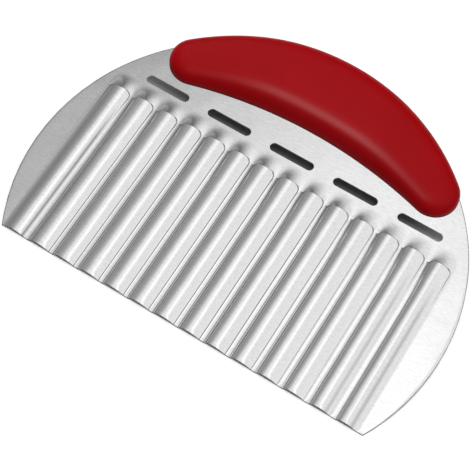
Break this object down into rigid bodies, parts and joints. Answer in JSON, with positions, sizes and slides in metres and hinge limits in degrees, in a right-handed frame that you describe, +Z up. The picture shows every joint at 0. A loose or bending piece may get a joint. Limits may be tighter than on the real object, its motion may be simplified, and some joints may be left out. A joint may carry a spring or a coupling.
{
  "type": "crinkle cutter",
  "caption": "Hand-held crinkle cutter: a round-backed steel blade with pressed ribs, a wavy cutting edge and a row of slots, clamped in a crescent-shaped red plastic handle.",
  "frame": {"origin": "on the surface that the cutter lies on, below the middle of its outline", "axes": "+X along the cutting edge to the right, +Y from the cutting edge towards the handle, +Z up out of the blade's front face"},
  "size_m": [0.17, 0.1252, 0.0222],
  "materials": {
    "blade_steel": "brushed",
    "handle_plastic": "satin",
    "pin_steel": "plain"
  },
  "bodies": {
    "root": {"blade": "blade_steel", "handle_front_shell": "handle_plastic", "handle_back_shell": "handle_plastic", "tang_pin_left": "pin_steel", "tang_pin_middle": "pin_steel", "tang_pin_right": "pin_steel"}
  },
  "joints": []
}
